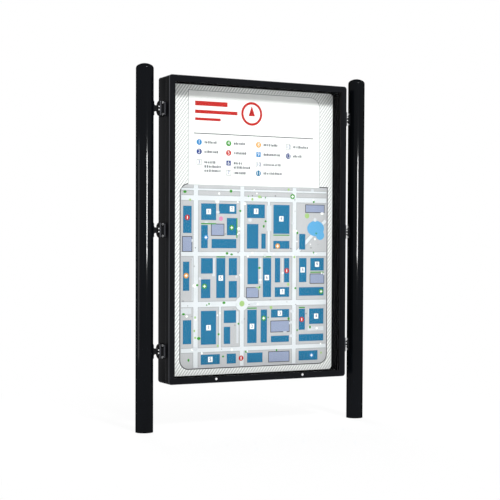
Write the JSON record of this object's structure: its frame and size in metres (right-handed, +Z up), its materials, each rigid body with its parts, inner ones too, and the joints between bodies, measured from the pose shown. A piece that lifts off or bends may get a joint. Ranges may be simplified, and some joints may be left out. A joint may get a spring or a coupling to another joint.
{
  "type": "sign stand",
  "caption": "Outdoor information display case: a shallow glazed black case with a top-hinged lockable door, hung between round domed posts on flanged brackets.",
  "frame": {"origin": "on the ground, midway between the two posts, under the middle of the case's depth", "axes": "+X to the viewer's right, -Y towards the viewer, +Z up"},
  "size_m": [1.338, 0.145, 1.86],
  "materials": {
    "post_paint": "gloss black powder coat",
    "case_paint": "gloss black powder coat",
    "bracket_paint": "satin black powder coat on castings",
    "fastener_steel": "bright stainless steel",
    "cleat_aluminium": "mill finish",
    "board_white": "matt white",
    "print_face": "satin printed face",
    "seal_rubber": "matt black",
    "glass_clear": "clear toughened glass",
    "lock_chrome": "polished chrome",
    "strut_paint": "satin black",
    "rod_chrome": "polished hard chrome"
  },
  "bodies": {
    "stand": {"post_left": "post_paint", "post_cap_left": "post_paint", "post_right": "post_paint", "post_cap_right": "post_paint", "bracket_lug_left_lower": "bracket_paint", "bracket_plate_left_lower": "bracket_paint", "bracket_lug_left_middle": "bracket_paint", "bracket_plate_left_middle": "bracket_paint", "bracket_lug_left_upper": "bracket_paint", "bracket_plate_left_upper": "bracket_paint", "bracket_lug_right_lower": "bracket_paint", "bracket_plate_right_lower": "bracket_paint", "bracket_lug_right_middle": "bracket_paint", "bracket_plate_right_middle": "bracket_paint", "bracket_lug_right_upper": "bracket_paint", "bracket_plate_right_upper": "bracket_paint", "lug_bolts": "fastener_steel", "plate_screws": "fastener_steel", "foot_screws": "fastener_steel", "plate_nuts": "fastener_steel", "post_inserts": "fastener_steel", "back_screws": "fastener_steel", "board_screws": "fastener_steel", "hinge_screws_body": "fastener_steel", "hinge_leaf_body": "fastener_steel", "hinge_pin": "fastener_steel", "strut_studs": "fastener_steel", "body_rail_top": "case_paint", "body_rail_bottom": "case_paint", "body_stile_left": "case_paint", "body_stile_right": "case_paint", "back_sheet": "case_paint", "body_cleats": "cleat_aluminium", "display_board": "board_white", "print_sheet": "print_face", "door_seal": "seal_rubber"},
    "door": {"hinge_leaf_door": "fastener_steel", "hinge_screws_door": "fastener_steel", "door_rail_top": "case_paint", "door_rail_bottom": "case_paint", "door_stile_left": "case_paint", "door_stile_right": "case_paint", "door_cleats": "cleat_aluminium", "door_glass": "glass_clear", "glazing_gaskets": "seal_rubber", "glazing_beads": "case_paint", "lock_body_left": "lock_chrome", "lock_body_right": "lock_chrome", "lock_nuts": "fastener_steel", "strut_ears": "bracket_paint"},
    "lock_left": {"lock_plug_left": "lock_chrome", "lock_cam_left": "lock_chrome"},
    "strut_left": {"strut_cylinder_left": "strut_paint"},
    "rod_left": {"strut_rod_left": "rod_chrome"},
    "lock_right": {"lock_plug_right": "lock_chrome", "lock_cam_right": "lock_chrome"},
    "strut_right": {"strut_cylinder_right": "strut_paint"},
    "rod_right": {"strut_rod_right": "rod_chrome"}
  },
  "joints": [
    {"name": "door_swing", "type": "hinge", "parent": "stand", "child": "door", "pos_m": [0, -0.0275, 1.8016], "axis": [-1, 0, 0], "range_deg": [0, 80]},
    {"name": "lock_left_turn", "type": "hinge", "parent": "door", "child": "lock_left", "pos_m": [-0.254, -0.07, 0.26], "axis": [0, -1, 0], "range_deg": [0, 90]},
    {"name": "strut_left_tilt", "type": "hinge", "parent": "stand", "child": "strut_left", "pos_m": [-0.5025, -0.003, 1.3816], "axis": [1, 0, 0], "range_deg": [0, 19]},
    {"name": "strut_left_slide", "type": "slide", "parent": "strut_left", "child": "rod_left", "axis": [0, 0, 1], "range_m": [0, 0.089]},
    {"name": "lock_right_turn", "type": "hinge", "parent": "door", "child": "lock_right", "pos_m": [0.254, -0.07, 0.26], "axis": [0, -1, 0], "range_deg": [0, 90]},
    {"name": "strut_right_tilt", "type": "hinge", "parent": "stand", "child": "strut_right", "pos_m": [0.5025, -0.003, 1.3816], "axis": [1, 0, 0], "range_deg": [0, 19]},
    {"name": "strut_right_slide", "type": "slide", "parent": "strut_right", "child": "rod_right", "axis": [0, 0, 1], "range_m": [0, 0.089]}
  ],
  "couplings": [
    {"joint": "strut_left_tilt", "follows": "door_swing", "ratio": 0.23553},
    {"joint": "strut_left_slide", "follows": "door_swing", "m_per_rad": 0.063101},
    {"joint": "strut_right_tilt", "follows": "door_swing", "ratio": 0.23553},
    {"joint": "strut_right_slide", "follows": "door_swing", "m_per_rad": 0.063101}
  ]
}
